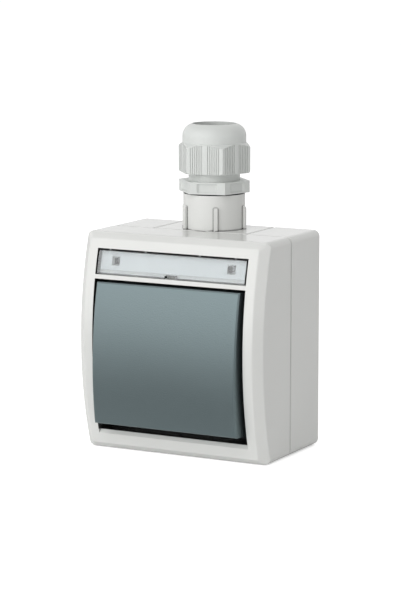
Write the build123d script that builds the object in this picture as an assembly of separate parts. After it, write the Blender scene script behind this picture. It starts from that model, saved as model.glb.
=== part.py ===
from build123d import *
import os
from math import asin, hypot, pi, radians, sin, sqrt, tan

# Surface-mounted splash-proof two-way switch with a cable gland on top.
# Millimetres. The wall is the plane y = 0, the front looks along -Y, +X is to the right and +Z is up.
# The origin is the middle of the back face. "Depth" means the distance ahead of the wall.

# Housing
WIDTH = 77.0
HEIGHT = 82.5
DEPTH = 52.5  # wall to the crown of the front
BASE_DEPTH = 26.5  # wall to the middle of the seam between base box and cover
STAND_OFF = 2.5  # plinth that keeps the gland nut clear of the wall
PLINTH_INSET = 4.0
FRONT_RADIUS = 134.0  # barrel curve of the front, about a level axis
CORNER_RADIUS = 2.5
WALL = 2.2
FLOOR = 2.5  # back wall of the base box
SEAM = 0.4  # thickness of the pressed gasket
GASKET_INSET = 0.45
SEAM_BEVEL = 0.4  # along the seam and the cable entry
BEVEL = 3.2  # front edge of the cover
MITRE_ROUND = 2.0  # where the bevels meet at the corners
EDGE_ROUND = 0.9
FIT = 0.1  # clearance of pieces that are pushed together
SLACK = 0.3  # clearance of pieces that only pass each other

# Front of the cover
SIDE_BORDER = 6.9
TOP_BORDER = 5.8
BOTTOM_BORDER = 7.6
LABEL_HEIGHT = 9.6
BAR = 1.6  # bar between label pocket and rocker
LIP_BEVEL = 1.4  # sloping lower lip of the rocker opening
WELL_WALL = 1.8
WELL_DEPTH = 15.0  # crown of the front to the back edge of the rocker well
POCKET_DEPTH = 3.0  # front to the floor of the label pocket
POCKET_FLOOR = 1.5

# Label window and card
WINDOW_SINK = 0.3  # window face behind the front
WINDOW_THICKNESS = 2.2
WINDOW_GAP = 0.55
WINDOW_ROUND = 1.0
NUB_WIDTH = 0.8
NUB_PLACES = (11.4, 26.3)  # from the middle, both ways
NOTCH_WIDTH = 4.5
NOTCH_HEIGHT = 1.25
CARD_THICKNESS = 0.4
CATCH_PLACE = 24.3  # middle of the square catch holes, from the middle
CATCH_HOLE = 3.4
CATCH_LEG = 2.1
CATCH_NOSE = 0.5

# Cover snap arms
ARM_WIDTH = 10.0
ARM_THICKNESS = 1.4
ARM_REACH = 8.0  # behind the seam
ARM_NOSE = 0.8
ARM_NOSE_LENGTH = 2.5

# Rocker
TILT = 4.5  # each way from the level position
PIVOT_SET_BACK = 16.5  # crown of the front to the rocker's axis
ROCKER_PROUD = 3.2
ROCKER_SIDE_GAP = 1.6
ROCKER_END_GAP = 2.3
ROCKER_FACE = 2.2
ROCKER_WALL = 1.8
ROCKER_SKIRT = 9.5  # crown of the front to the skirt's back edge
ROCKER_BEVEL = 0.5
ROCKER_EDGE_ROUND = 0.25
LUG_THICKNESS = 2.0
LUG_HEIGHT = 9.0

# Toggle that carries the rocker
TOGGLE_WIDTH = 18.0
TOGGLE_HEIGHT = 9.0
HUB_RADIUS = 3.6
TRUNNION_RADIUS = 2.2
TRUNNION_PLAY = 0.06
NOSE_RADIUS = 3.2
NOSE_REACH = 7.0  # axis to the back end of the nose
CATCH_STUD_RADIUS = 1.2
CATCH_STUD_HEIGHT = 0.8
CATCH_STUD_PLACE = 7.5  # ahead of the axis
PLUNGER_RADIUS = 1.5
SPRING_WIRE = 0.2
SPRING_TURNS = 4
SPRING_SIDES = 6  # of the wire's section, which stands for a round one

# Bearing lid, support frame and mechanism base
FRAME_TO_PIVOT = 10.5  # front of the frame to the axis
FRAME_THICKNESS = 1.2
FRAME_SIDE_GAP = 1.8  # edge of the frame to the cover's snap arm
FRAME_HEIGHT = 24.0
MECHANISM_WIDTH = 40.0
MECHANISM_HEIGHT = 36.0
MECHANISM_DEPTH = 12.8
MECHANISM_WALL = 1.5
MECHANISM_OVERLAP = 2.0  # of base and lid over the frame's window
LID_THICKNESS = 3.0
BEARING_THICKNESS = 3.0
BEARING_RIM = 1.5
CLIP_WIDTH = 10.0
CLIP_THICKNESS = 1.2
CLIP_REACH = 4.5
CLIP_NOSE = 0.7
CLIP_NOSE_LENGTH = 1.5

# Seal behind the rocker
SEAL_THICKNESS = 1.5
SEAL_RIM = 1.0
SEAL_RIM_LENGTH = 2.0
SEAL_WINDOW_MARGIN = 1.5

# Changeover contact
CONTACT_TO_PIVOT = 14.25  # contact's axis to the rocker's axis
CONTACT_TILT = 8.0
CONTACT_HALF = 10.8
CONTACT_WIDTH = 7.0
CONTACT_THICKNESS = 0.8
CONTACT_PIN_RADIUS = 0.9
CONTACT_PIN_PLAY = 0.05
TIP_PLACE = 9.0  # along the contact from its axis
TIP_RADIUS = 1.6
TIP_HEIGHT = 0.8
TIP_GAP = 0.1  # left between closed tips at their edge
PLUNGER_GAP = 0.35

# Terminals
STRIP = 0.8
STRIP_WIDTH = 3.6
CLAMP_PLACE = 13.2  # middle of each clamp, from the middle
CLAMP_WIDTH = 6.0
CLAMP_WALL = 1.2
CLAMP_FRONT_WALL = 1.8
WIRE_SPACE = 3.7
TERMINAL_SCREW_RADIUS = 1.5
TERMINAL_HEAD_RADIUS = 2.4
TERMINAL_HEAD_HEIGHT = 1.8
SLOT_WIDTH = 0.7
SLOT_DEPTH = 0.8

# Screws that hold the frame, and the bosses they enter
BOSS_INSET = 4.0  # edge of the frame to the middle of a boss
BOSS_RADIUS = 3.6
BOSS_HOLE_DEPTH = 14.0
DEVICE_SCREW_RADIUS = 1.6
DEVICE_HEAD_RADIUS = 3.2
DEVICE_HEAD_HEIGHT = 2.0
DEVICE_SCREW_LENGTH = 10.0

# Wall slots
SLOT_SPACING = 60.0
WALL_SLOT_WIDTH = 4.5
WALL_SLOT_LENGTH = 8.0

# Cable entry insert in the top wall
ENTRY_WIDTH = 39.0
ENTRY_BELOW = 3.0  # top of the box to the underside of the insert
ENTRY_GAP = 0.3
TONGUE = 1.0
SPIGOT_RADIUS = 11.75
SPIGOT_RISE = 13.3
RIB_TURNS = (-35.0, 30.0, 95.0)  # from the front towards the right, and the same again opposite
RIB_WIDTH = 1.5
RIB_PROUD = 1.1
RIB_RISE = 8.8

# Cable gland, heights above the top of the box
THREAD_RADIUS = 10.0
THREAD_FOOT = 1.5
GLAND_BORE = 7.0
WASHER_THICKNESS = 0.5
WASHER_RADIUS = 11.3
FLANGE_FLATS = 23.8
FLANGE_HEIGHT = 4.5
FLANGE_TURN = 14.7  # of a corner, from +X
PANEL_WIDTH = 6.5
PANEL_SLOPE = 0.8  # width of the sloping side of a panel
PANEL_DEPTH = 0.6
PANEL_RIM = 0.6  # left above and below a panel
NECK_RADIUS = 9.75
NECK_TOP = 27.0
CAGE_TOP = 33.0
CAGE_WALL = 0.9
CAGE_SLOTS = 8
CAGE_SLOT_WIDTH = 1.2
CABLE_RADIUS = 6.0
GRIP_WALL = 1.9
GRIP_FOOT = 22.0
GRIP_TOP = 34.0
RING_HEIGHT = 1.2
NUT_FOOT = 21.2
NUT_FLATS = 24.6
NUT_TURN = 10.5
NUT_CORNER_TOP = 31.0
NUT_FLAT_TOP = 32.4
NUT_TOP = 39.7
NUT_FOOT_BEVEL = 0.6  # off the lower edge at the corners
DOME_RADIUS = 12.1
DOME_ROUND = 4.7
NUT_HOLE_RADIUS = 8.4
GRIP_GROOVES = 6  # in each half of a flat
GRIP_GROOVE_WIDTH = 0.4
GRIP_GROOVE_DEPTH = 0.3
GRIP_GROOVE_PITCH = 0.85
GRIP_GROOVE_START = 1.25  # middle of a flat to its first groove
GRIP_GROOVE_END = 0.2  # end of a groove to the edge of the shoulder

# Places worked out from the sizes above
TOP = HEIGHT / 2
SEAM_BACK = BASE_DEPTH - SEAM / 2
SEAM_FRONT = BASE_DEPTH + SEAM / 2
OPENING_HALF = WIDTH / 2 - SIDE_BORDER
LABEL_TOP = TOP - TOP_BORDER
LABEL_BOTTOM = LABEL_TOP - LABEL_HEIGHT
LABEL_MIDDLE = (LABEL_TOP + LABEL_BOTTOM) / 2
OPENING_TOP = LABEL_BOTTOM - BAR
OPENING_BOTTOM = BOTTOM_BORDER - TOP
WELL_BACK = DEPTH - WELL_DEPTH
PIVOT = DEPTH - PIVOT_SET_BACK
PIVOT_Z = (OPENING_TOP + OPENING_BOTTOM) / 2
ROCKER_HALF_WIDTH = OPENING_HALF - ROCKER_SIDE_GAP
ROCKER_HALF = (OPENING_TOP - OPENING_BOTTOM) / 2 - ROCKER_END_GAP
SKIRT_BACK = DEPTH - ROCKER_SKIRT
FRAME_WIDTH = WIDTH - 2 * (WALL + FIT + ARM_THICKNESS + FRAME_SIDE_GAP)
FRAME_FRONT = PIVOT - FRAME_TO_PIVOT
FRAME_BACK = FRAME_FRONT - FRAME_THICKNESS
BOSS_PLACE = FRAME_WIDTH / 2 - BOSS_INSET
LID_FRONT = FRAME_FRONT + LID_THICKNESS
MECHANISM_BACK = FRAME_BACK - MECHANISM_DEPTH
CLIP_OUTER = MECHANISM_HEIGHT / 2 - MECHANISM_OVERLAP - FIT
CLIP_BACK = FRAME_BACK - CLIP_REACH
CLAMP_BACK = MECHANISM_BACK + MECHANISM_WALL
STRIP_DEPTH = CLAMP_BACK + CLAMP_WALL + STRIP / 2
CLAMP_SEAT = CLAMP_BACK + CLAMP_WALL + STRIP + WIRE_SPACE
CLAMP_FRONT = CLAMP_SEAT + CLAMP_FRONT_WALL
CLAMP_POSITIONS = (
    (-CLAMP_PLACE, PIVOT_Z),
    (CLAMP_PLACE, PIVOT_Z - TIP_PLACE),
    (CLAMP_PLACE, PIVOT_Z + TIP_PLACE),
)
CONTACT = PIVOT - CONTACT_TO_PIVOT
TIP_EDGE = (TIP_PLACE + TIP_RADIUS) * sin(radians(CONTACT_TILT)) + CONTACT_THICKNESS / 2 + TIP_HEIGHT
TIP_FACE = CONTACT - TIP_EDGE - TIP_GAP
ARM_DEPTH = TIP_FACE - TIP_HEIGHT - STRIP / 2
PLUNGER_TIP = CONTACT + CONTACT_PIN_RADIUS + PLUNGER_GAP
PLUNGER_HEAD = PIVOT - NOSE_REACH / 2
SPRING_END = PIVOT + HUB_RADIUS / 2
BEARING_PLACE = TOGGLE_WIDTH / 2 + SLACK
BOX_FLOOR = STAND_OFF + FLOOR
GLAND_DEPTH = (STAND_OFF + BASE_DEPTH) / 2
SPIGOT_TOP = TOP + SPIGOT_RISE
FLANGE_FOOT = SPIGOT_TOP + WASHER_THICKNESS
FLANGE_TOP = FLANGE_FOOT + FLANGE_HEIGHT
GRIP_RADIUS = CABLE_RADIUS + GRIP_WALL
CAGE_BORE = GRIP_RADIUS + FIT
NUT_BORE = NECK_RADIUS + FIT
RING_FOOT = TOP + GRIP_TOP + FIT
RING_TOP = RING_FOOT + RING_HEIGHT
TOGGLE_AXIS = Axis((0, -PIVOT, PIVOT_Z), (1, 0, 0))
CONTACT_AXIS = Axis((0, -CONTACT, PIVOT_Z), (1, 0, 0))
BARREL_AXIS = Axis((0, FRONT_RADIUS - DEPTH, 0), (1, 0, 0))
BARREL_TURN = 80.0  # arc of the barrel forms, wider than the housing
OUTSIDE = 5.0  # how far cutters run past the faces they open
LIFT = 0.02  # keeps a crossing form's faces just outside those it would lie on


def block(x, depth, z):
    """Box between pairs of limits: across, ahead of the wall and up."""
    middle = Pos((x[0] + x[1]) / 2, -(depth[0] + depth[1]) / 2, (z[0] + z[1]) / 2)
    return middle * Box(x[1] - x[0], depth[1] - depth[0], z[1] - z[0])


def both_ways(half):
    """Limits the same distance either side of the middle."""
    return (-half, half)


def around(middle, size):
    """Limits of a size about its middle."""
    return (middle - size / 2, middle + size / 2)


def slab(width, height, radius, depth, z=0.0):
    """Rounded rectangle across and up, run between two depths."""
    outline = Plane.XZ.offset(depth[0]) * Pos(0, z) * RectangleRounded(width, height, radius)
    return extrude(outline, depth[1] - depth[0])


def rod(x, z, radius, depth):
    """Round bar that points out of the wall."""
    return extrude(Plane.XZ.offset(depth[0]) * Pos(x, z) * Circle(radius), depth[1] - depth[0])


def axle(x, depth, z, radius):
    """Round bar that lies level, from left to right."""
    return extrude(Plane.YZ.offset(x[0]) * Pos(-depth, z) * Circle(radius), x[1] - x[0])


def turned(*points):
    """Ring turned about the gland's upright axis, from (radius, height) points."""
    section = Plane.XZ * make_face(Polyline(*points, close=True))
    return Pos(0, -GLAND_DEPTH, 0) * revolve(section, Axis.Z)


def front_depth(z, inset=0.0):
    """Depth of the barrel-curved front, or of a surface set in from it, at a height."""
    return DEPTH - FRONT_RADIUS + sqrt((FRONT_RADIUS - inset) ** 2 - z**2)


def barrel(inset):
    """All that lies behind a surface set in from the curved front."""
    return Pos(0, FRONT_RADIUS - DEPTH, 0) * Rot(0, 90, 0) * Cylinder(FRONT_RADIUS - inset, 2 * WIDTH)


def barrel_sides(half_width, inset, bevel, rim_round):
    """Body turned about the barrel's axis, bevelled left and right, the bevels' outer edges eased."""
    crown = DEPTH - inset
    plan = make_face(
        Polyline(
            (-half_width, 0),
            (-half_width, bevel - crown),
            (bevel - half_width, -crown),
            (half_width - bevel, -crown),
            (half_width, bevel - crown),
            (half_width, 0),
            close=True,
        )
    )
    plan = fillet(plan.vertices().sort_by(Axis.Y)[2:4], rim_round)
    return revolve(plan, BARREL_AXIS, BARREL_TURN).rotate(BARREL_AXIS, -BARREL_TURN / 2)


def barrel_ends(low, high, back, inset, bevel, rim_round):
    """Curved-front section run from left to right, bevelled above and below in the same way."""
    middle = (low + high) / 2
    section = make_face(
        [
            Polyline(
                (-front_depth(high, inset), high),
                (-back, high),
                (-back, low),
                (-front_depth(low, inset), low),
            ),
            ThreePointArc(
                (-front_depth(low, inset), low),
                (-front_depth(middle, inset), middle),
                (-front_depth(high, inset), high),
            ),
        ]
    )
    section = chamfer(section.vertices().sort_by(Axis.X)[:2], bevel)
    section = fillet(section.vertices().sort_by(Axis.X)[2:4], rim_round)
    return extrude(Plane.YZ * section, WIDTH, both=True)


def cover_form(inset):
    """Outside of the cover, or the same form drawn in by a wall."""
    half_height = TOP - inset
    bevel = BEVEL - inset * (2 - sqrt(2))
    end_bevel = bevel / tan(pi / 4 + asin(half_height / FRONT_RADIUS) / 2)
    sides = barrel_sides(WIDTH / 2 - inset, inset, bevel, EDGE_ROUND)
    back = SEAM_FRONT - inset
    return sides & barrel_ends(-half_height, half_height, back, inset - LIFT, end_bevel, EDGE_ROUND)


def bent_strip(points, z):
    """Metal strip of even thickness bent along (x, depth) points at right angles."""
    strip = [
        block(
            (min(a[0], b[0]) - STRIP / 2, max(a[0], b[0]) + STRIP / 2),
            (min(a[1], b[1]) - STRIP / 2, max(a[1], b[1]) + STRIP / 2),
            z,
        )
        for a, b in zip(points, points[1:])
    ]
    return strip[0].fuse(*strip[1:]).clean()


def slotted_screw(x, z, seat, head_radius, head_height, radius, length):
    """Screw seated at a depth, its driving slot level across the head."""
    head = rod(x, z, head_radius, (seat, seat + head_height))
    slot = block(
        around(x, 2 * head_radius + FIT),
        (seat + head_height - SLOT_DEPTH, seat + head_height + FIT),
        around(z, SLOT_WIDTH),
    )
    return (head - slot) + rod(x, z, radius, (seat - length, seat))


def hexagon(flats, turn, heights):
    """Upright hexagonal prism on the gland's axis."""
    outline = Rot(0, 0, turn) * RegularPolygon(flats / 2, 6, major_radius=False)
    return Pos(0, -GLAND_DEPTH, heights[0]) * extrude(outline, heights[1] - heights[0])


def about_gland(shape, count, first=0.0):
    """Copies of a shape spaced evenly about the gland's axis."""
    axis = Axis((0, -GLAND_DEPTH, 0), (0, 0, 1))
    return [shape.rotate(axis, first + 360 * k / count) for k in range(count)]


def base_box():
    """Open box on a low plinth, with two wall slots, two bosses and the notch for the cable entry."""
    inner_corner = max(CORNER_RADIUS - WALL, EDGE_ROUND)
    plinth = (WIDTH - 2 * PLINTH_INSET, HEIGHT - 2 * PLINTH_INSET)
    body = slab(WIDTH, HEIGHT, CORNER_RADIUS, (STAND_OFF, SEAM_BACK))
    body = chamfer(body.faces().sort_by(Axis.Y)[0].edges(), SEAM_BEVEL)
    body += slab(*plinth, CORNER_RADIUS, (0, STAND_OFF))
    body -= slab(WIDTH - 2 * WALL, HEIGHT - 2 * WALL, inner_corner, (BOX_FLOOR, BASE_DEPTH))
    body -= slab(plinth[0] - 2 * FLOOR, plinth[1] - 2 * FLOOR, inner_corner, (FLOOR, BOX_FLOOR))
    notch_half = ENTRY_WIDTH / 2 + ENTRY_GAP
    notch_floor = TOP - ENTRY_BELOW - ENTRY_GAP
    notch = make_face(
        Polyline(
            (-notch_half, notch_floor),
            (-notch_half, TOP - SEAM_BEVEL),
            (-notch_half - SEAM_BEVEL - OUTSIDE, TOP + OUTSIDE),
            (notch_half + SEAM_BEVEL + OUTSIDE, TOP + OUTSIDE),
            (notch_half, TOP - SEAM_BEVEL),
            (notch_half, notch_floor),
            close=True,
        )
    )
    body -= extrude(Plane.XZ * notch, BASE_DEPTH)
    groove = around(TOP - WALL / 2, TONGUE + 2 * FIT)
    body -= block(both_ways(notch_half + TONGUE), (BOX_FLOOR, BASE_DEPTH), groove)
    for side in (-1, 1):
        place = (side * BOSS_PLACE, PIVOT_Z)
        body += rod(*place, BOSS_RADIUS, (FLOOR / 2, FRAME_BACK))
        body -= rod(*place, DEVICE_SCREW_RADIUS + FIT / 2, (FRAME_BACK - BOSS_HOLE_DEPTH, FRAME_BACK))
        window = (SEAM_BACK - ARM_REACH - SLACK, SEAM_BACK - ARM_REACH + ARM_NOSE_LENGTH + SLACK)
        nose = WIDTH / 2 - WALL + ARM_NOSE + FIT
        inner = WIDTH / 2 - WALL - FIT
        body -= block(sorted((side * inner, side * nose)), window, around(PIVOT_Z, ARM_WIDTH + 2 * SLACK))
        slot = Plane.XZ * Pos(0, side * SLOT_SPACING / 2) * Rot(0, 0, 90)
        body -= extrude(slot * SlotOverall(WALL_SLOT_LENGTH, WALL_SLOT_WIDTH), FLOOR)
    return body


def entry_insert():
    """Plate slid into the top wall, moulded in one with the ribbed spigot."""
    half = ENTRY_WIDTH / 2
    body = block(both_ways(half), (STAND_OFF, SEAM_BACK), (TOP - ENTRY_BELOW, TOP))
    upper = body.faces().sort_by(Axis.Z)[-1].edges()
    body = chamfer(upper.filter_by(Axis.Y) + upper.filter_by(Axis.X).sort_by(Axis.Y)[:1], SEAM_BEVEL)
    body += block(both_ways(half + TONGUE), (BOX_FLOOR + FIT, SEAM_BACK), around(TOP - WALL / 2, TONGUE))
    body += turned((0, TOP), (SPIGOT_RADIUS, TOP), (SPIGOT_RADIUS, SPIGOT_TOP), (0, SPIGOT_TOP))
    reach = SPIGOT_RADIUS + RIB_PROUD
    rib = block(around(0, RIB_WIDTH), (GLAND_DEPTH + THREAD_RADIUS, GLAND_DEPTH + reach),
                (TOP, TOP + RIB_RISE))
    rib = fillet(rib.edges().filter_by(Axis.X).sort_by(Axis.Z)[-2:].sort_by(Axis.Y)[:1], RIB_PROUD)
    for turn in RIB_TURNS:
        body += about_gland(rib, 2, turn)
    bore = THREAD_RADIUS + FIT
    foot = TOP - ENTRY_BELOW - OUTSIDE
    body -= turned((0, foot), (bore, foot), (bore, SPIGOT_TOP + OUTSIDE), (0, SPIGOT_TOP + OUTSIDE))
    return body


def cover_gasket():
    """Flat rubber ring pressed in the seam."""
    outer = slab(WIDTH - 2 * GASKET_INSET, HEIGHT - 2 * GASKET_INSET, CORNER_RADIUS - GASKET_INSET,
                 (SEAM_BACK, SEAM_FRONT))
    inner_corner = max(CORNER_RADIUS - WALL, EDGE_ROUND)
    through = (SEAM_BACK - SEAM, SEAM_FRONT + SEAM)
    return outer - slab(WIDTH - 2 * WALL, HEIGHT - 2 * WALL, inner_corner, through)


def front_cover():
    """Barrel-fronted cover with the rocker well, the label pocket and two snap arms."""
    corners = slab(WIDTH + 2 * LIFT, HEIGHT + 2 * LIFT, CORNER_RADIUS,
                   (SEAM_FRONT - OUTSIDE, DEPTH + OUTSIDE))
    body = cover_form(0) & corners
    body = fillet(body.edges().filter_by(GeomType.HYPERBOLA), MITRE_ROUND)
    body = fillet(body.faces().sort_by(Axis.Y)[0].edges(), EDGE_ROUND)
    body = chamfer(body.faces().sort_by(Axis.Y)[-1].edges(), SEAM_BEVEL)
    body -= cover_form(WALL)
    well_x = both_ways(OPENING_HALF + WELL_WALL)
    well = block(well_x, (WELL_BACK, DEPTH), (OPENING_BOTTOM - WELL_WALL, LABEL_TOP + WELL_WALL))
    body += well & barrel(WALL / 2)
    across = both_ways(OPENING_HALF)
    through = (WELL_BACK - OUTSIDE, DEPTH + OUTSIDE)
    body -= block(across, through, (OPENING_BOTTOM, OPENING_TOP))
    pocket = block(across, through, (LABEL_BOTTOM, LABEL_TOP))
    body -= pocket - barrel(POCKET_DEPTH)
    body -= pocket & barrel(POCKET_DEPTH + POCKET_FLOOR)
    for side in (-1, 1):
        body -= block(around(side * CATCH_PLACE, CATCH_HOLE), through, around(LABEL_MIDDLE, CATCH_HOLE))
    lip_depth = front_depth(OPENING_BOTTOM)
    lip = make_face(
        Polyline(
            (LIP_BEVEL - lip_depth, OPENING_BOTTOM),
            (-front_depth(OPENING_BOTTOM - LIP_BEVEL), OPENING_BOTTOM - LIP_BEVEL),
            (-DEPTH - OUTSIDE, OPENING_BOTTOM - LIP_BEVEL),
            (-DEPTH - OUTSIDE, OPENING_BOTTOM),
            close=True,
        )
    )
    body -= extrude(Plane.YZ * lip, OPENING_HALF, both=True)
    for side in (-1, 1):
        outer = WIDTH / 2 - WALL
        arm = block(
            sorted((side * (outer - FIT), side * (outer - FIT - ARM_THICKNESS))),
            (SEAM_BACK - ARM_REACH, SEAM_FRONT + ARM_REACH),
            around(PIVOT_Z, ARM_WIDTH),
        )
        root = block(
            sorted((side * (outer + FIT), side * (outer - FIT - ARM_THICKNESS))),
            (SEAM_FRONT + ARM_REACH / 2, SEAM_FRONT + ARM_REACH),
            around(PIVOT_Z, ARM_WIDTH),
        )
        nose = block(
            sorted((side * (outer - ARM_THICKNESS), side * (outer - FIT + ARM_NOSE))),
            (SEAM_BACK - ARM_REACH, SEAM_BACK - ARM_REACH + ARM_NOSE_LENGTH),
            around(PIVOT_Z, ARM_WIDTH),
        )
        body += arm + root + nose
    return body


def window_outline(gap, z_gap):
    """Block that stands through the label pocket, clear of its walls, with rounded upper corners."""
    shape = block(
        both_ways(OPENING_HALF - gap),
        (WELL_BACK, DEPTH + OUTSIDE),
        (LABEL_BOTTOM + z_gap, LABEL_TOP - gap),
    )
    upper = shape.edges().filter_by(Axis.Y).sort_by(Axis.Z)[-2:]
    return fillet(upper, WINDOW_ROUND)


def label_window():
    """Clear curved pane with four nubs on top, a prising notch below and two catch legs behind."""
    back = WINDOW_SINK + WINDOW_THICKNESS
    layer = barrel(WINDOW_SINK) - barrel(back)
    body = window_outline(WINDOW_GAP, SLACK)
    for place in NUB_PLACES:
        for side in (-1, 1):
            body += block(around(side * place, NUB_WIDTH), (WELL_BACK, DEPTH + OUTSIDE),
                          (LABEL_TOP - 2 * WINDOW_GAP, LABEL_TOP))
    body -= block(around(0, NOTCH_WIDTH), (WELL_BACK - OUTSIDE, DEPTH + 2 * OUTSIDE),
                  (LABEL_BOTTOM - OUTSIDE, LABEL_BOTTOM + NOTCH_HEIGHT))
    body &= layer
    shell = barrel(back - FIT) - barrel(POCKET_DEPTH + POCKET_FLOOR + CATCH_LEG)
    hook = barrel(POCKET_DEPTH + POCKET_FLOOR + FIT) - barrel(POCKET_DEPTH + POCKET_FLOOR + CATCH_LEG)
    inner = CATCH_PLACE - CATCH_HOLE / 2 + FIT
    height = around(LABEL_MIDDLE, CATCH_LEG)
    for side in (-1, 1):
        outer = side * (inner + CATCH_LEG)
        leg = block(sorted((side * inner, outer)), (WELL_BACK, DEPTH), height)
        nose = block(sorted((side * (inner - CATCH_NOSE), outer)), (WELL_BACK, DEPTH), height)
        body += (leg & shell) + (nose & hook)
    return body


def label_card():
    """Plain card behind the window, with holes where the window's catch legs go through."""
    outer = WINDOW_SINK + WINDOW_THICKNESS + FIT / 2
    layer = barrel(outer) - barrel(outer + CARD_THICKNESS)
    body = window_outline(2 * WINDOW_GAP, NOTCH_HEIGHT + SLACK) & layer
    for side in (-1, 1):
        body -= block(around(side * CATCH_PLACE, CATCH_HOLE), (WELL_BACK, DEPTH + OUTSIDE),
                      around(LABEL_MIDDLE, CATCH_HOLE))
    return body


def rocker():
    """Hollow rocker with a barrel-curved face and two lugs that clip over the toggle."""
    low, high = PIVOT_Z - ROCKER_HALF, PIVOT_Z + ROCKER_HALF
    body = barrel_sides(ROCKER_HALF_WIDTH, -ROCKER_PROUD, ROCKER_BEVEL, ROCKER_EDGE_ROUND)
    body &= barrel_ends(low, high, SKIRT_BACK, -ROCKER_PROUD - LIFT, ROCKER_BEVEL, ROCKER_EDGE_ROUND)
    hollow = block(
        both_ways(ROCKER_HALF_WIDTH - ROCKER_WALL),
        (SKIRT_BACK - OUTSIDE, DEPTH + OUTSIDE),
        (low + ROCKER_WALL, high - ROCKER_WALL),
    )
    inside = barrel(ROCKER_FACE - ROCKER_PROUD)
    body -= hollow & inside
    stud = PIVOT + CATCH_STUD_PLACE
    lug = (stud - 2 * CATCH_STUD_RADIUS, DEPTH + ROCKER_PROUD - ROCKER_FACE / 2)
    for side in (-1, 1):
        inner = side * TOGGLE_WIDTH / 2
        outer = side * (TOGGLE_WIDTH / 2 + LUG_THICKNESS)
        body += block(sorted((inner, outer)), lug, around(PIVOT_Z, LUG_HEIGHT))
        body -= axle(sorted((inner, outer)), stud, PIVOT_Z, CATCH_STUD_RADIUS + FIT)
    return body.rotate(TOGGLE_AXIS, -TILT)


def toggle():
    """Cradle on two trunnions: stem and studs for the rocker in front, bored nose for the plunger behind."""
    half = TOGGLE_WIDTH / 2
    body = axle(both_ways(half), PIVOT, PIVOT_Z, HUB_RADIUS)
    body += axle(both_ways(BEARING_PLACE + BEARING_THICKNESS), PIVOT, PIVOT_Z, TRUNNION_RADIUS)
    front = front_depth(PIVOT_Z - TOGGLE_HEIGHT / 2, ROCKER_FACE - ROCKER_PROUD) - FIT
    stem_z = around(PIVOT_Z, TOGGLE_HEIGHT - 2 * SLACK)
    body += block(both_ways(half), (PIVOT + HUB_RADIUS / 2, front), stem_z)
    studs = both_ways(half + CATCH_STUD_HEIGHT)
    body += axle(studs, PIVOT + CATCH_STUD_PLACE, PIVOT_Z, CATCH_STUD_RADIUS)
    body += rod(0, PIVOT_Z, NOSE_RADIUS, (PIVOT - NOSE_REACH, PIVOT))
    body -= rod(0, PIVOT_Z, PLUNGER_RADIUS + FIT, (PIVOT - NOSE_REACH - OUTSIDE, SPRING_END))
    return body.rotate(TOGGLE_AXIS, -TILT)


def toggle_plunger():
    """Round-nosed pin that rides in the toggle and tips the contact over."""
    centre = PLUNGER_TIP + PLUNGER_RADIUS
    body = rod(0, PIVOT_Z, PLUNGER_RADIUS, (centre, PLUNGER_HEAD))
    body += Pos(0, -centre, PIVOT_Z) * Sphere(PLUNGER_RADIUS)
    return body.rotate(TOGGLE_AXIS, -TILT)


def toggle_spring():
    """Coil spring between the plunger and the end of the toggle's bore."""
    length = SPRING_END - PLUNGER_HEAD - 2 * SPRING_WIRE - 2 * FIT
    path = Helix(length / SPRING_TURNS, length, PLUNGER_RADIUS - SPRING_WIRE)
    wire = RegularPolygon(SPRING_WIRE, SPRING_SIDES)
    coil = sweep(Plane(path @ 0, z_dir=path % 0) * wire, path, is_frenet=True)
    coil = Pos(0, -(PLUNGER_HEAD + SPRING_WIRE + FIT), PIVOT_Z) * Rot(90, 0, 0) * coil
    return coil.rotate(TOGGLE_AXIS, -TILT)


def rocker_seal():
    """Black rubber apron on the back edge of the well, with a window for the toggle and its bearings."""
    half_width = OPENING_HALF + WELL_WALL
    low, high = OPENING_BOTTOM - WELL_WALL, OPENING_TOP + BAR
    rim_x = both_ways(half_width + SEAL_RIM)
    rim_depth = (WELL_BACK, WELL_BACK + SEAL_RIM_LENGTH)
    body = block(rim_x, (WELL_BACK - SEAL_THICKNESS, WELL_BACK), (low - SEAL_RIM, high))
    rim = block(rim_x, rim_depth, (low - SEAL_RIM, OPENING_TOP))
    body += rim - block(both_ways(half_width), rim_depth, (low, high))
    window_x = both_ways(BEARING_PLACE + BEARING_THICKNESS + SEAL_WINDOW_MARGIN)
    window_z = around(PIVOT_Z, 2 * (TRUNNION_RADIUS + BEARING_RIM + SEAL_WINDOW_MARGIN))
    body -= block(window_x, (WELL_BACK - OUTSIDE, WELL_BACK + OUTSIDE), window_z)
    return body


def support_frame():
    """Steel plate across the bosses that carries the mechanism."""
    body = slab(FRAME_WIDTH, FRAME_HEIGHT, CORNER_RADIUS, (FRAME_BACK, FRAME_FRONT), PIVOT_Z)
    body += slab(MECHANISM_WIDTH, MECHANISM_HEIGHT, CORNER_RADIUS, (FRAME_BACK, FRAME_FRONT), PIVOT_Z)
    window = (MECHANISM_WIDTH - 2 * MECHANISM_OVERLAP, MECHANISM_HEIGHT - 2 * MECHANISM_OVERLAP)
    body -= slab(*window, EDGE_ROUND, (FRAME_BACK - OUTSIDE, FRAME_FRONT + OUTSIDE), PIVOT_Z)
    for side in (-1, 1):
        body -= rod(side * BOSS_PLACE, PIVOT_Z, DEVICE_SCREW_RADIUS + SLACK, (FRAME_BACK, FRAME_FRONT))
    return body


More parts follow.
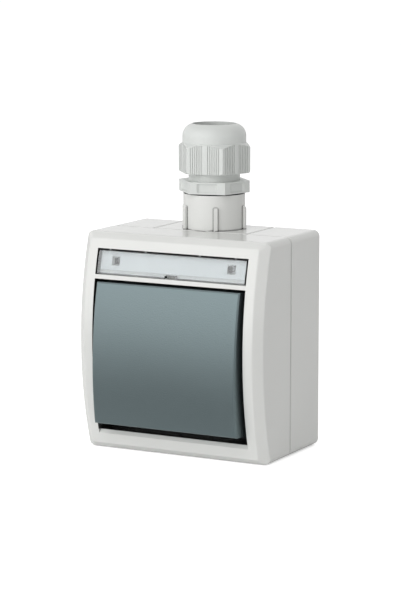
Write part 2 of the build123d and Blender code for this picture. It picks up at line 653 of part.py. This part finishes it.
def mechanism_base():
    """Insulating tray for the terminals, with wire entries in its sides and catches for the lid."""
    body = slab(MECHANISM_WIDTH, MECHANISM_HEIGHT, CORNER_RADIUS, (MECHANISM_BACK, FRAME_BACK), PIVOT_Z)
    body -= slab(MECHANISM_WIDTH - 2 * MECHANISM_WALL, MECHANISM_HEIGHT - 2 * MECHANISM_WALL, EDGE_ROUND,
                 (CLAMP_BACK, FRAME_FRONT), PIVOT_Z)
    wire = (CLAMP_BACK + CLAMP_WALL + STRIP, CLAMP_SEAT)
    for x, z in CLAMP_POSITIONS:
        outer = MECHANISM_WIDTH / 2 + OUTSIDE
        body -= block(sorted((x, outer if x > 0 else -outer)), wire, around(z, WIRE_SPACE))
    catch_x = both_ways(CLIP_WIDTH / 2 + SLACK)
    catch_depth = (CLIP_BACK - SLACK, CLIP_BACK + CLIP_NOSE_LENGTH + FIT)
    for side in (-1, 1):
        catch_z = sorted((PIVOT_Z, PIVOT_Z + side * (CLIP_OUTER + CLIP_NOSE + SLACK)))
        body -= block(catch_x, catch_depth, catch_z)
    return body


def mechanism_lid():
    """Front plate of the mechanism with the toggle's two bearings, clipped to the base through the frame."""
    body = slab(MECHANISM_WIDTH, MECHANISM_HEIGHT, CORNER_RADIUS, (FRAME_FRONT, LID_FRONT), PIVOT_Z)
    through = (FRAME_FRONT - OUTSIDE, LID_FRONT + OUTSIDE)
    passage = PLUNGER_RADIUS + 2 * SLACK
    swing = CONTACT_TO_PIVOT * sin(radians(TILT))
    body -= block(both_ways(passage), through, around(PIVOT_Z, 2 * (passage + swing)))
    body -= [rod(x, z, TERMINAL_HEAD_RADIUS, through) for x, z in CLAMP_POSITIONS]
    root = LID_FRONT - LID_THICKNESS / 2
    rim = TRUNNION_RADIUS + BEARING_RIM
    clip_x = both_ways(CLIP_WIDTH / 2)
    for side in (-1, 1):
        x = sorted((side * BEARING_PLACE, side * (BEARING_PLACE + BEARING_THICKNESS)))
        ear = block(x, (root, PIVOT), around(PIVOT_Z, 2 * rim)) + axle(x, PIVOT, PIVOT_Z, rim)
        body += ear - axle(x, PIVOT, PIVOT_Z, TRUNNION_RADIUS + TRUNNION_PLAY)
        inner = PIVOT_Z + side * (CLIP_OUTER - CLIP_THICKNESS)
        outer = PIVOT_Z + side * CLIP_OUTER
        nose = PIVOT_Z + side * (CLIP_OUTER + CLIP_NOSE)
        body += block(clip_x, (CLIP_BACK, root), sorted((inner, outer)))
        body += block(clip_x, (CLIP_BACK, CLIP_BACK + CLIP_NOSE_LENGTH), sorted((inner, nose)))
    return body


def contact_rocker():
    """Two-ended contact arm on a cross pin, tipped by the plunger."""
    half = CONTACT_WIDTH / 2
    body = block(both_ways(half), around(CONTACT, CONTACT_THICKNESS), around(PIVOT_Z, 2 * CONTACT_HALF))
    body += axle(both_ways(half + 2 * STRIP + 2 * SLACK), CONTACT, PIVOT_Z, CONTACT_PIN_RADIUS)
    return body.rotate(CONTACT_AXIS, CONTACT_TILT)


def moving_contact_tips():
    """Silver tips under both ends of the contact arm."""
    back = CONTACT - CONTACT_THICKNESS / 2
    tips = [rod(0, PIVOT_Z + side * TIP_PLACE, TIP_RADIUS, (back - TIP_HEIGHT, back)) for side in (-1, 1)]
    return [tip.rotate(CONTACT_AXIS, CONTACT_TILT) for tip in tips]


def fixed_contact_tips():
    """Silver tips on the arms of the two way terminals."""
    depth = (TIP_FACE - TIP_HEIGHT, TIP_FACE)
    return [rod(0, PIVOT_Z + side * TIP_PLACE, TIP_RADIUS, depth) for side in (-1, 1)]


def common_terminal():
    """Brass strip from the common clamp to the fork in which the contact arm's pin turns."""
    fork = CONTACT_WIDTH / 2 + SLACK
    z = around(PIVOT_Z, STRIP_WIDTH)
    outer = -CLAMP_PLACE - CLAMP_WIDTH / 2
    body = block((outer, fork + STRIP), around(STRIP_DEPTH, STRIP), z)
    for side in (-1, 1):
        x = sorted((side * fork, side * (fork + STRIP)))
        ear = block(x, (STRIP_DEPTH, CONTACT), z) + axle(x, CONTACT, PIVOT_Z, STRIP_WIDTH / 2)
        body += ear - axle(x, CONTACT, PIVOT_Z, CONTACT_PIN_RADIUS + CONTACT_PIN_PLAY)
    return body


def way_terminal(side):
    """Brass strip from a way clamp, stepped forward to the arm that carries a fixed tip."""
    step = CLAMP_PLACE - CLAMP_WIDTH / 2 - STRIP
    points = (
        (CLAMP_PLACE + CLAMP_WIDTH / 2, STRIP_DEPTH),
        (step, STRIP_DEPTH),
        (step, ARM_DEPTH),
        (-TIP_RADIUS, ARM_DEPTH),
    )
    return bent_strip(points, around(PIVOT_Z + side * TIP_PLACE, STRIP_WIDTH))


def terminal_clamps():
    """Square wire clamps, one round each terminal strip."""
    clamps = []
    wire = (CLAMP_BACK + CLAMP_WALL, CLAMP_SEAT)
    for x, z in CLAMP_POSITIONS:
        cage = block(around(x, CLAMP_WIDTH), (CLAMP_BACK, CLAMP_FRONT), around(z, CLAMP_WIDTH))
        cage -= block(around(x, CLAMP_WIDTH), wire, around(z, STRIP_WIDTH + 2 * FIT))
        cage -= rod(x, z, TERMINAL_SCREW_RADIUS + FIT, (CLAMP_SEAT, CLAMP_FRONT))
        clamps.append(cage)
    return clamps


def terminal_screws():
    """Slotted screws that press the wires into the clamps."""
    return [
        slotted_screw(x, z, CLAMP_FRONT, TERMINAL_HEAD_RADIUS, TERMINAL_HEAD_HEIGHT,
                      TERMINAL_SCREW_RADIUS, CLAMP_FRONT_WALL + FIT)
        for x, z in CLAMP_POSITIONS
    ]


def device_screws():
    """Two screws that hold the frame on the bosses."""
    return [
        slotted_screw(side * BOSS_PLACE, PIVOT_Z, FRAME_FRONT, DEVICE_HEAD_RADIUS, DEVICE_HEAD_HEIGHT,
                      DEVICE_SCREW_RADIUS, DEVICE_SCREW_LENGTH)
        for side in (-1, 1)
    ]


def gland_washer():
    """Sealing ring under the gland's flange."""
    bore = THREAD_RADIUS + FIT
    return turned((bore, SPIGOT_TOP), (WASHER_RADIUS, SPIGOT_TOP),
                  (WASHER_RADIUS, FLANGE_FOOT), (bore, FLANGE_FOOT))


def gland_body():
    """Gland body: threaded foot, hexagonal flange with sunk panels, neck and slotted clamping cage."""
    outer = CAGE_BORE + CAGE_WALL
    ledge = TOP + GRIP_FOOT
    body = turned(
        (GLAND_BORE, TOP + THREAD_FOOT),
        (THREAD_RADIUS, TOP + THREAD_FOOT),
        (THREAD_RADIUS, FLANGE_FOOT + FLANGE_HEIGHT / 2),
        (NECK_RADIUS, FLANGE_FOOT + FLANGE_HEIGHT / 2),
        (NECK_RADIUS, TOP + NECK_TOP),
        (outer, TOP + NECK_TOP),
        (outer, TOP + CAGE_TOP),
        (CAGE_BORE, TOP + CAGE_TOP),
        (CAGE_BORE, ledge),
        (GLAND_BORE, ledge),
    )
    flange = hexagon(FLANGE_FLATS, FLANGE_TURN, (FLANGE_FOOT, FLANGE_TOP))
    face = -GLAND_DEPTH - FLANGE_FLATS / 2
    half = PANEL_WIDTH / 2
    panel = make_face(
        Polyline(
            (-half, face + PANEL_DEPTH),
            (half, face + PANEL_DEPTH),
            (half + 2 * PANEL_SLOPE, face - PANEL_DEPTH),
            (-half - 2 * PANEL_SLOPE, face - PANEL_DEPTH),
            close=True,
        )
    )
    panel = extrude(Pos(0, 0, FLANGE_FOOT + PANEL_RIM) * panel, FLANGE_HEIGHT - 2 * PANEL_RIM)
    flange -= about_gland(panel, 6, FLANGE_TURN)
    core = NECK_RADIUS - FIT
    flange -= turned((0, FLANGE_FOOT), (core, FLANGE_FOOT), (core, FLANGE_TOP), (0, FLANGE_TOP))
    body += flange
    slot = block(around(0, CAGE_SLOT_WIDTH), (GLAND_DEPTH, GLAND_DEPTH + NECK_RADIUS),
                 (TOP + NECK_TOP, TOP + CAGE_TOP))
    return body - about_gland(slot, CAGE_SLOTS)


def gland_grip():
    """Soft sleeve in the cage that closes on the cable."""
    return turned((CABLE_RADIUS, TOP + GRIP_FOOT), (GRIP_RADIUS, TOP + GRIP_FOOT),
                  (GRIP_RADIUS, TOP + GRIP_TOP), (CABLE_RADIUS, TOP + GRIP_TOP))


def gland_ring():
    """Slip ring that the nut pushes down on the sleeve and the cage."""
    outer = NUT_BORE - FIT
    return turned((NUT_HOLE_RADIUS, RING_FOOT), (outer, RING_FOOT),
                  (outer, RING_TOP), (NUT_HOLE_RADIUS, RING_TOP))


def gland_nut():
    """Domed hexagonal nut with grip grooves on its flats."""
    foot = TOP + NUT_FOOT
    top = TOP + NUT_TOP
    body = hexagon(NUT_FLATS, NUT_TURN, (foot, top))
    flat = NUT_FLATS / 2
    grooved = (GLAND_DEPTH + flat - GRIP_GROOVE_DEPTH, GLAND_DEPTH + 2 * flat)
    corner = NUT_FLATS / sqrt(3)
    slope = (NUT_FLAT_TOP - NUT_CORNER_TOP) / (corner - flat)
    for k in range(GRIP_GROOVES):
        place = GRIP_GROOVE_START + k * GRIP_GROOVE_PITCH
        end = TOP + NUT_FLAT_TOP - slope * (hypot(flat, place) - flat) - GRIP_GROOVE_END
        for side in (-1, 1):
            groove = block(around(side * place, GRIP_GROOVE_WIDTH), grooved, (foot, end))
            body -= about_gland(groove, 6, NUT_TURN)
    shoulder = TOP + NUT_FLAT_TOP + slope * (flat - DOME_RADIUS)
    outside = make_face(
        [
            Polyline(
                (DOME_RADIUS - DOME_ROUND, top),
                (0, top),
                (0, foot),
                (corner - NUT_FOOT_BEVEL, foot),
                (corner, foot + NUT_FOOT_BEVEL),
                (corner, TOP + NUT_CORNER_TOP),
                (DOME_RADIUS, shoulder),
                (DOME_RADIUS, top - DOME_ROUND),
            ),
            RadiusArc((DOME_RADIUS, top - DOME_ROUND), (DOME_RADIUS - DOME_ROUND, top), -DOME_ROUND),
        ]
    )
    body &= Pos(0, -GLAND_DEPTH, 0) * revolve(Plane.XZ * outside, Axis.Z)
    cone = RING_TOP + NUT_BORE - NUT_HOLE_RADIUS
    return body - turned((0, foot), (NUT_BORE, foot), (NUT_BORE, RING_TOP), (NUT_HOLE_RADIUS, cone),
                         (NUT_HOLE_RADIUS, top), (0, top))


PIECES = {
    "base_box": base_box(),
    "entry_insert": entry_insert(),
    "cover_gasket": cover_gasket(),
    "front_cover": front_cover(),
    "label_window": label_window(),
    "label_card": label_card(),
    "rocker": rocker(),
    "rocker_seal": rocker_seal(),
    "toggle": toggle(),
    "toggle_plunger": toggle_plunger(),
    "toggle_spring": toggle_spring(),
    "support_frame": support_frame(),
    "mechanism_base": mechanism_base(),
    "mechanism_lid": mechanism_lid(),
    "contact_rocker": contact_rocker(),
    "moving_contact_tips": moving_contact_tips(),
    "fixed_contact_tips": fixed_contact_tips(),
    "common_terminal": common_terminal(),
    "way_one_terminal": way_terminal(-1),
    "way_two_terminal": way_terminal(1),
    "terminal_clamps": terminal_clamps(),
    "terminal_screws": terminal_screws(),
    "device_screws": device_screws(),
    "gland_washer": gland_washer(),
    "gland_body": gland_body(),
    "gland_grip": gland_grip(),
    "gland_ring": gland_ring(),
    "gland_nut": gland_nut(),
}

os.makedirs("parts", exist_ok=True)
for name, piece in PIECES.items():
    solids = piece.solids() if not isinstance(piece, list) else [s for p in piece for s in p.solids()]
    shape = solids[0] if len(solids) == 1 else Compound(children=solids)
    export_step(shape, f"parts/{name}.step")
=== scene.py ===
import bpy
from math import cos, radians, sin
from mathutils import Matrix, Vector


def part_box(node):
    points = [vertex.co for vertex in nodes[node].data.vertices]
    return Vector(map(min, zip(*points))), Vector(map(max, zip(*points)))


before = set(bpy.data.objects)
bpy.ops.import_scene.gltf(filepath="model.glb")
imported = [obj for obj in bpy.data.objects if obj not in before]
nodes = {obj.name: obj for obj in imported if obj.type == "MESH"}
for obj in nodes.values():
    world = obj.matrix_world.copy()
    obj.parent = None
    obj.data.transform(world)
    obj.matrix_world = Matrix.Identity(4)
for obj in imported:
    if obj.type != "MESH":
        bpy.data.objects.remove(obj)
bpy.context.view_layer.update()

# Viewpoint
# The switch is seen from the right and a little above, through a long lens, so its edges stay nearly
# parallel. The frame is upright, 401 by 601 points, and the lens is given for its taller side.
azimuth = radians(28.0947)
elevation = radians(9.1223)
focal_points = 2435.53
frame_points = 601
sensor_height = 36.0
view = bpy.data.cameras.new("view")
view.sensor_fit = "VERTICAL"
view.sensor_height = sensor_height
view.lens = focal_points * sensor_height / frame_points
view.clip_end = 20.0
viewer = bpy.data.objects.new("viewer", view)
viewer.location = (0.427163, -0.825772, 0.160378)
towards = Vector((-sin(azimuth) * cos(elevation), cos(azimuth) * cos(elevation), -sin(elevation)))
viewer.rotation_euler = towards.to_track_quat("-Z", "Y").to_euler()
bpy.context.scene.collection.objects.link(viewer)
bpy.context.scene.camera = viewer
bpy.context.scene.view_settings.view_transform = "Standard"


# White studio
# An even pale room, with wide soft lamps in front, up on the left, and a weaker one high up behind.
# The floor is white card that looks lit from behind to the viewer and keeps a soft shadow under the box.
# A band of it in front of the box is darker only in reflections, a painted dark reflection that shades
# the rocker towards the bottom.
def reckon(tree, operation, first, second=0.0):
    """Math node on two numbers, each written out or taken from another node."""
    node = tree.nodes.new("ShaderNodeMath")
    node.operation = operation
    for socket, value in zip(node.inputs, (first, second)):
        if isinstance(value, bpy.types.NodeSocket):
            tree.links.new(value, socket)
        else:
            socket.default_value = value
    return node.outputs[0]


def spread(tree, value, start, end, low, high):
    """Turn a value that runs from start to end into one that runs from low to high."""
    node = tree.nodes.new("ShaderNodeMapRange")
    for name, number in (("From Min", start), ("From Max", end), ("To Min", low), ("To Max", high)):
        node.inputs[name].default_value = number
    tree.links.new(value, node.inputs["Value"])
    return node.outputs["Result"]


def along_axes(tree, kind):
    """X, Y and Z parts of a point's place on its object, or of the way that its face looks."""
    place = tree.nodes.new("ShaderNodeTexCoord")
    parts = tree.nodes.new("ShaderNodeSeparateXYZ")
    tree.links.new(place.outputs[kind], parts.inputs[0])
    return parts.outputs


sky_seen = 1.0
sky_light = 0.48
room = bpy.data.worlds.new("room")
bpy.context.scene.world = room
room.use_nodes = True
sky = room.node_tree.nodes["Background"]
sky.inputs["Color"].default_value = (1.0, 1.0, 1.0, 1.0)
sky_ray = room.node_tree.nodes.new("ShaderNodeLightPath")
sky_level = spread(room.node_tree, sky_ray.outputs["Is Diffuse Ray"], 0.0, 1.0, sky_seen, sky_light)
room.node_tree.links.new(sky_level, sky.inputs["Strength"])

lamp_target = Vector((0.0, -0.02, 0.0))


def soft_lamp(name, place, size, power):
    """Square soft lamp aimed at the middle of the switch."""
    lamp = bpy.data.lights.new(name, "AREA")
    lamp.shape = "SQUARE"
    lamp.size = size
    lamp.energy = power
    holder = bpy.data.objects.new(name, lamp)
    holder.location = place
    holder.rotation_euler = (lamp_target - Vector(place)).to_track_quat("-Z", "Y").to_euler()
    bpy.context.scene.collection.objects.link(holder)
    return holder


soft_lamp("lamp_front", place=(-0.3, -1.2, 0.42), size=1.6, power=6.4)
lamp_front_dull = soft_lamp("lamp_front_dull", place=(-0.32, -1.28, 0.448), size=1.7, power=8.7)
lamp_front_dull.visible_glossy = False
lamp_behind = soft_lamp("lamp_behind", place=(0.1, 1.0, 0.95), size=1.2, power=3.2)
lamp_behind.visible_glossy = False

floor_reach = 6.0
floor_drop = 0.0002
floor_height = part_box("front_cover")[0].z - floor_drop
floor_sides = ((-1, -1), (1, -1), (1, 1), (-1, 1))
floor_corners = [(x * floor_reach, y * floor_reach, floor_height) for x, y in floor_sides]
floor_mesh = bpy.data.meshes.new("floor")
floor_mesh.from_pydata(floor_corners, [], [(0, 1, 2, 3)])
floor = bpy.data.objects.new("floor", floor_mesh)
bpy.context.scene.collection.objects.link(floor)

painted_reflection_reach = -1.0
painted_reflection_dark = 0.85
floor_glow = 0.55
card = bpy.data.materials.new("floor_card")
card.use_nodes = True
card_tree = card.node_tree
paper = card_tree.nodes["Principled BSDF"]
paper.inputs["Roughness"].default_value = 0.9
paper.inputs["Specular IOR Level"].default_value = 0.1
paper.inputs["Emission Color"].default_value = (1.0, 1.0, 1.0, 1.0)
paper_noise = card_tree.nodes.new("ShaderNodeTexNoise")
paper_noise.inputs["Scale"].default_value = 4.0
paper_tone = spread(card_tree, paper_noise.outputs["Fac"], 0.0, 1.0, 0.93, 0.97)
paper_forward = spread(card_tree, along_axes(card_tree, "Object")["Y"], 0.0, painted_reflection_reach, 0.0, 1.0)
# Painted reflection: in this band the floor's colour is darker only for glossy rays.
painted_reflection_ramp = card_tree.nodes.new("ShaderNodeValToRGB")
for stop, tone in ((0.12, painted_reflection_dark), (0.3, painted_reflection_dark), (0.6, 0.0)):
    painted_reflection_ramp.color_ramp.elements.new(stop).color = (tone, tone, tone, 1.0)
painted_reflection_ramp.color_ramp.elements[0].position = 0.05
painted_reflection_ramp.color_ramp.elements[0].color = (0.0, 0.0, 0.0, 1.0)
painted_reflection_ramp.color_ramp.elements[-1].color = (0.0, 0.0, 0.0, 1.0)
card_tree.links.new(paper_forward, painted_reflection_ramp.inputs["Fac"])
paper_ray = card_tree.nodes.new("ShaderNodeLightPath")
painted_reflection_shade = reckon(card_tree, "MULTIPLY", painted_reflection_ramp.outputs["Color"], paper_ray.outputs["Is Glossy Ray"])
paper_shown = reckon(card_tree, "SUBTRACT", paper_tone, painted_reflection_shade)
card_tree.links.new(paper_shown, paper.inputs["Base Color"])
paper_glow = reckon(card_tree, "MULTIPLY", paper_ray.outputs["Is Camera Ray"], floor_glow)
card_tree.links.new(paper_glow, paper.inputs["Emission Strength"])
floor_mesh.materials.append(card)


# Base box and cable entry
# The box and the cable entry that slides into its top wall are moulded in one light warm grey plastic.
# The moulds are polished, so the faces are satin with a very fine grain and the colour barely drifts.
# The narrow seams between the pieces are darkened with painted shade.
def moulding_grain_and_painted_shade():
    """Node group: slow colour drift and fine bump of moulded plastic, and painted shade in its narrow
    gaps.
    """
    cloud_scale = 45.0
    open_share = 0.95
    shut_share = 0.4
    bump_height = 0.0001
    group = bpy.data.node_groups.new("moulding_grain_and_painted_shade", "ShaderNodeTree")
    ports = group.interface
    ports.new_socket("Color", in_out="INPUT", socket_type="NodeSocketColor")
    for name in ("Drift", "Grain Scale", "Grain Depth", "Roughness", "Painted Gap Shade", "Painted Shade Distance"):
        ports.new_socket(name, in_out="INPUT", socket_type="NodeSocketFloat")
    ports.new_socket("Color", in_out="OUTPUT", socket_type="NodeSocketColor")
    ports.new_socket("Roughness", in_out="OUTPUT", socket_type="NodeSocketFloat")
    ports.new_socket("Normal", in_out="OUTPUT", socket_type="NodeSocketVector")
    make = group.nodes.new
    join = group.links.new
    given = make("NodeGroupInput")
    result = make("NodeGroupOutput")
    place = make("ShaderNodeTexCoord")

    cloud = make("ShaderNodeTexNoise")
    cloud.inputs["Scale"].default_value = cloud_scale
    cloud.inputs["Detail"].default_value = 3.0
    join(place.outputs["Object"], cloud.inputs["Vector"])
    off_middle = reckon(group, "SUBTRACT", cloud.outputs["Fac"], 0.5)
    drift = reckon(group, "MULTIPLY", off_middle, given.outputs["Drift"])
    level = reckon(group, "ADD", drift, 1.0)
    join(reckon(group, "MULTIPLY", given.outputs["Roughness"], level), result.inputs["Roughness"])

    # Painted shade: where other faces lie close by, an ambient occlusion test darkens the colour,
    # standing in for the shade in narrow gaps and seams.
    nearness = make("ShaderNodeAmbientOcclusion")
    join(given.outputs["Painted Shade Distance"], nearness.inputs["Distance"])
    shut_in = spread(group, nearness.outputs["AO"], open_share, shut_share, 0.0, 1.0)
    dark = reckon(group, "MULTIPLY", shut_in, given.outputs["Painted Gap Shade"])
    light = reckon(group, "SUBTRACT", 1.0, dark)
    tinted = make("ShaderNodeVectorMath")
    tinted.operation = "SCALE"
    join(given.outputs["Color"], tinted.inputs[0])
    join(reckon(group, "MULTIPLY", level, light), tinted.inputs["Scale"])
    join(tinted.outputs[0], result.inputs["Color"])

    fine = make("ShaderNodeTexNoise")
    fine.inputs["Detail"].default_value = 2.0
    join(place.outputs["Object"], fine.inputs["Vector"])
    join(given.outputs["Grain Scale"], fine.inputs["Scale"])
    bump = make("ShaderNodeBump")
    bump.inputs["Distance"].default_value = bump_height
    join(given.outputs["Grain Depth"], bump.inputs["Strength"])
    join(fine.outputs["Fac"], bump.inputs["Height"])
    join(bump.outputs["Normal"], result.inputs["Normal"])
    return group


grain = moulding_grain_and_painted_shade()
seam_painted_shade_distance = 0.0008


def moulded(name, colour, drift, grain_scale, grain_depth, roughness, painted_gap_shade=0.0):
    """Plastic, rubber or metal material with the moulding grain and painted shade in narrow gaps."""
    material = bpy.data.materials.new(name)
    material.use_nodes = True
    tree = material.node_tree
    surface = tree.nodes["Principled BSDF"]
    texture = tree.nodes.new("ShaderNodeGroup")
    texture.name = "grain"
    texture.node_tree = grain
    texture.inputs["Color"].default_value = (*colour, 1.0)
    texture.inputs["Drift"].default_value = drift
    texture.inputs["Grain Scale"].default_value = grain_scale
    texture.inputs["Grain Depth"].default_value = grain_depth
    texture.inputs["Roughness"].default_value = roughness
    texture.inputs["Painted Gap Shade"].default_value = painted_gap_shade
    texture.inputs["Painted Shade Distance"].default_value = seam_painted_shade_distance
    tree.links.new(texture.outputs["Color"], surface.inputs["Base Color"])
    tree.links.new(texture.outputs["Roughness"], surface.inputs["Roughness"])
    tree.links.new(texture.outputs["Normal"], surface.inputs["Normal"])
    return material


def set_surface(material, socket, value):
    """Set one of the shader's own values, the same all over the surface."""
    material.node_tree.nodes["Principled BSDF"].inputs[socket].default_value = value


def polished_grey(name, painted_gap_shade):
    """Light warm grey of the housing, with painted shade darkening narrow gaps by the given share."""
    material = moulded(
        name, (0.74, 0.745, 0.725), drift=0.05,
        grain_scale=2600.0, grain_depth=0.06, roughness=0.15, painted_gap_shade=painted_gap_shade,
    )
    set_surface(material, "IOR", 1.5)
    return material


def dress(material, *names):
    """Give the named solids a finished material."""
    for name in names:
        mesh = nodes[name].data
        mesh.materials.clear()
        mesh.materials.append(material)


# Painted shade darkens the narrow seams of the box and the cable entry.
housing_grey = polished_grey("housing_grey", painted_gap_shade=0.95)
dress(housing_grey, "base_box", "entry_insert")

# Cable gland
# Body, slip ring and dome nut are light grey polyamide, a little duller and cooler than the housing.
# The body screws into the spigot and the nut on the body, which squeezes the sleeve round a cable.
# A touch of painted shade darkens the gland's narrow gaps.
gland_grey = moulded(
    "gland_grey", (0.67, 0.69, 0.67), drift=0.05,
    grain_scale=2200.0, grain_depth=0.12, roughness=0.34, painted_gap_shade=0.05,
)
dress(gland_grey, "gland_body", "gland_ring", "gland_nut")

# Mechanism
# A pale insulating base and lid clip together through the support frame behind the rocker. They carry
# the toggle, in whose bore the plunger sits. All four are moulded, with a dull face and a fine grain.
mechanism_plastic = moulded(
    "mechanism_plastic", (0.62, 0.62, 0.6), drift=0.06,
    grain_scale=1800.0, grain_depth=0.2, roughness=0.5,
)
dress(mechanism_plastic, "toggle", "toggle_plunger", "mechanism_base", "mechanism_lid")


# Frame, terminals and contacts
# The frame, the screws and the spring are zinc-plated steel. The terminals, their clamps and the tipping
# contact are bare brass, and the contact tips are silver, which is the smoothest of the three.
def metal(name, colour, roughness, drift):
    """Bare metal with cloudy tarnish and a fine grain."""
    material = moulded(
        name, colour, drift=drift,
        grain_scale=900.0, grain_depth=0.1, roughness=roughness,
    )
    set_surface(material, "Metallic", 1.0)
    return material


zinc_steel = metal("zinc_steel", (0.6, 0.61, 0.62), roughness=0.38, drift=0.2)
dress(zinc_steel, "toggle_spring", "support_frame", "terminal_screws", "device_screws")
terminal_brass = metal("terminal_brass", (0.71, 0.56, 0.28), roughness=0.32, drift=0.25)
dress(terminal_brass, "contact_rocker", "common_terminal", "terminal_clamps")
dress(terminal_brass, "way_one_terminal", "way_two_terminal")
contact_silver = metal("contact_silver", (0.8, 0.8, 0.78), roughness=0.25, drift=0.15)
dress(contact_silver, "moving_contact_tips", "fixed_contact_tips")

# Seals
# The seam gasket, the apron behind the rocker and the gland's washer and sleeve are black rubber.
# Gasket and washer are cut from sheet, apron and sleeve are moulded, and all are squeezed in place.
seal_rubber = moulded(
    "seal_rubber", (0.016, 0.017, 0.018), drift=0.2,
    grain_scale=1800.0, grain_depth=0.3, roughness=0.7,
)
dress(seal_rubber, "cover_gasket", "rocker_seal", "gland_washer", "gland_grip")

# Front cover
# The cover is moulded in the same grey as the box, and snaps on it with two arms inside the side walls.
# Its rocker well is deep, and a narrow gap runs round the label window. Their walls are painted dark:
# the painted shade of narrow gaps spreads much further there.
opening_half = 0.0316
well_top = 0.02425
well_bottom = -0.03365
label_top = 0.03545
label_bottom = 0.02585
window_gap = 0.00055
below_window = 0.001
wall_start = 0.0001
wall_end = 0.00002
face_painted_shade_distance = 0.0003
well_painted_shade_distance = 0.012
cover_grey = polished_grey("cover_grey", painted_gap_shade=0.97)
cover_tree = cover_grey.node_tree
cover_place = along_axes(cover_tree, "Object")


def outside_of(half_width, bottom, top):
    """Distance from an upright rectangle in the front, negative inside it."""
    off_centre = reckon(cover_tree, "ABSOLUTE", cover_place["X"])
    past_side = reckon(cover_tree, "SUBTRACT", off_centre, half_width)
    above_middle = reckon(cover_tree, "SUBTRACT", cover_place["Z"], (top + bottom) / 2)
    off_middle = reckon(cover_tree, "ABSOLUTE", above_middle)
    past_end = reckon(cover_tree, "SUBTRACT", off_middle, (top - bottom) / 2)
    return reckon(cover_tree, "MAXIMUM", past_side, past_end)


off_well = outside_of(opening_half, well_bottom, well_top)
off_pocket = outside_of(opening_half, label_bottom, label_top)
off_window = outside_of(opening_half - window_gap, label_bottom - below_window, label_top - window_gap)
in_window = reckon(cover_tree, "MULTIPLY", off_window, -1.0)
off_gap = reckon(cover_tree, "MAXIMUM", off_pocket, in_window)
off_painted_shade = reckon(cover_tree, "MINIMUM", off_well, off_gap)
# Painted shade: inside the rocker well and the gap round the label window, the shade distance is 12 mm
# instead of 0.3 mm, so their walls are painted dark.
cover_painted_shade_distance = spread(cover_tree, off_painted_shade, wall_start, wall_end, face_painted_shade_distance, well_painted_shade_distance)
cover_tree.links.new(cover_painted_shade_distance, cover_tree.nodes["grain"].inputs["Painted Shade Distance"])
dress(cover_grey, "front_cover")

# Rocker
# A wide hollow rocker in dark blue-grey plastic that clips on the studs of the toggle.
# Its mould is spark-eroded, so the face is matte and finely grained, with a soft sheen towards the top.
rocker_grey = moulded(
    "rocker_grey", (0.188, 0.238, 0.248), drift=0.06,
    grain_scale=2300.0, grain_depth=0.6, roughness=0.42,
)
set_surface(rocker_grey, "Metallic", 0.79)
dress(rocker_grey, "rocker")

# Label card and window
# A clear pane clips into the pocket over a plain white card. Its face is polished and a little milky.
# Its side faces, and a thin rim at its top and right, are painted near black as painted shade of the
# narrow gap round the pane. Four small nubs at its top stay clear.
card_white = moulded(
    "card_white", (0.95, 0.97, 0.975), drift=0.04,
    grain_scale=1500.0, grain_depth=0.1, roughness=0.8,
)
dress(card_white, "label_card")

rim_width = 0.0003
rim_band = 0.0005
side_tilt = 0.6
face_tilt = 0.8
window_clear = bpy.data.materials.new("window_clear")
window_clear.use_nodes = True
set_surface(window_clear, "Transmission Weight", 0.8)
set_surface(window_clear, "IOR", 1.45)
pane_tree = window_clear.node_tree
pane = pane_tree.nodes["Principled BSDF"]
to_front = reckon(pane_tree, "ABSOLUTE", along_axes(pane_tree, "Normal")["Y"])

pane_noise = pane_tree.nodes.new("ShaderNodeTexNoise")
pane_noise.inputs["Scale"].default_value = 300.0
polish = spread(pane_tree, pane_noise.outputs["Fac"], 0.0, 1.0, 0.005, 0.025)
side_face = spread(pane_tree, to_front, face_tilt, side_tilt, 0.0, 1.0)
pane_tree.links.new(reckon(pane_tree, "MAXIMUM", polish, side_face), pane.inputs["Roughness"])

pane_place = along_axes(pane_tree, "Object")
past_right = reckon(pane_tree, "SUBTRACT", pane_place["X"], opening_half - window_gap - rim_width)
past_top = reckon(pane_tree, "SUBTRACT", pane_place["Z"], label_top - window_gap - rim_width)
past_edge = reckon(pane_tree, "MAXIMUM", past_right, past_top)
# Painted shade: a thin band along the pane's top and right edges is coloured dark.
painted_rim_shade = pane_tree.nodes.new("ShaderNodeValToRGB")
for stop in (0.12, 0.58):
    painted_rim_shade.color_ramp.elements.new(stop).color = (0.0, 0.0, 0.0, 1.0)
painted_rim_shade.color_ramp.elements[0].color = (1.0, 1.0, 1.0, 1.0)
painted_rim_shade.color_ramp.elements[-1].position = 0.64
pane_tree.links.new(spread(pane_tree, past_edge, 0.0, rim_band, 0.0, 1.0), painted_rim_shade.inputs["Fac"])
# The pane's own pale tint on its face, and near-black painted shade on its side faces and on the rim.
pane_tint_and_painted_shade = pane_tree.nodes.new("ShaderNodeValToRGB")
pane_tint_and_painted_shade.color_ramp.elements[0].position = side_tilt
pane_tint_and_painted_shade.color_ramp.elements[0].color = (0.0005, 0.0006, 0.0007, 1.0)
pane_tint_and_painted_shade.color_ramp.elements[1].position = face_tilt
pane_tint_and_painted_shade.color_ramp.elements[1].color = (0.95, 0.985, 0.995, 1.0)
clear_face = reckon(pane_tree, "MINIMUM", to_front, painted_rim_shade.outputs["Color"])
pane_tree.links.new(clear_face, pane_tint_and_painted_shade.inputs["Fac"])
pane_tree.links.new(pane_tint_and_painted_shade.outputs["Color"], pane.inputs["Base Color"])
dress(window_clear, "label_window")
